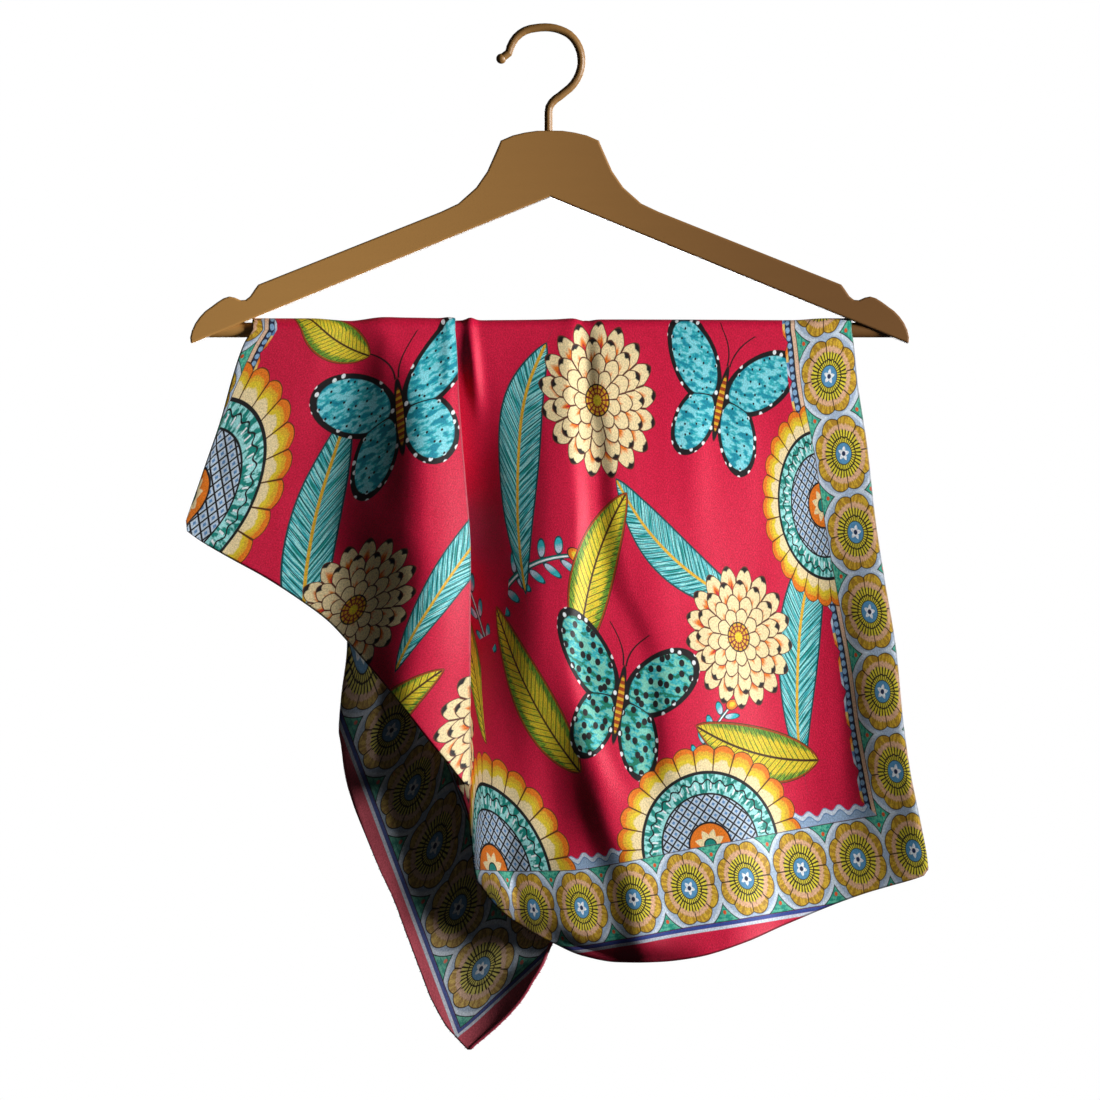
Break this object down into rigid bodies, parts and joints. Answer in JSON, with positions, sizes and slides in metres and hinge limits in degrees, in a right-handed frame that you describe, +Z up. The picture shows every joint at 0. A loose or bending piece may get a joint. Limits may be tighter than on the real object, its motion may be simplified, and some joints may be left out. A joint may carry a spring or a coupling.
{
  "type": "silk square scarf on a clothes hanger",
  "caption": "Printed silk twill square hung over the trouser bar of a flat wooden clothes hanger, pleated in front, one corner of its back drop hanging below.",
  "frame": {"origin": "top of the inside of the hook's bend, where a rail carries it", "axes": "+Z up, +X to the right as seen from the front, the front looks along -Y"},
  "size_m": [0.4604, 0.0434, 0.6363],
  "materials": {
    "hanger_wood": "satin brown lacquer",
    "hook_metal": "satin, the brown of the wood",
    "silk_print": "silk twill, soft sheen, printed",
    "silk_hem": "silk twill, rolled and hand stitched"
  },
  "bodies": {
    "root": {"hanger_body": "hanger_wood", "hanger_bar": "hanger_wood", "hanger_hook": "hook_metal", "scarf_front_left": "silk_print", "scarf_front_right": "silk_print", "scarf_pleat_turn": "silk_print", "scarf_left_turn": "silk_print", "scarf_right_turn": "silk_print", "scarf_bottom_turn": "silk_print", "scarf_back_drop": "silk_print", "scarf_back_hem": "silk_hem"}
  },
  "joints": []
}
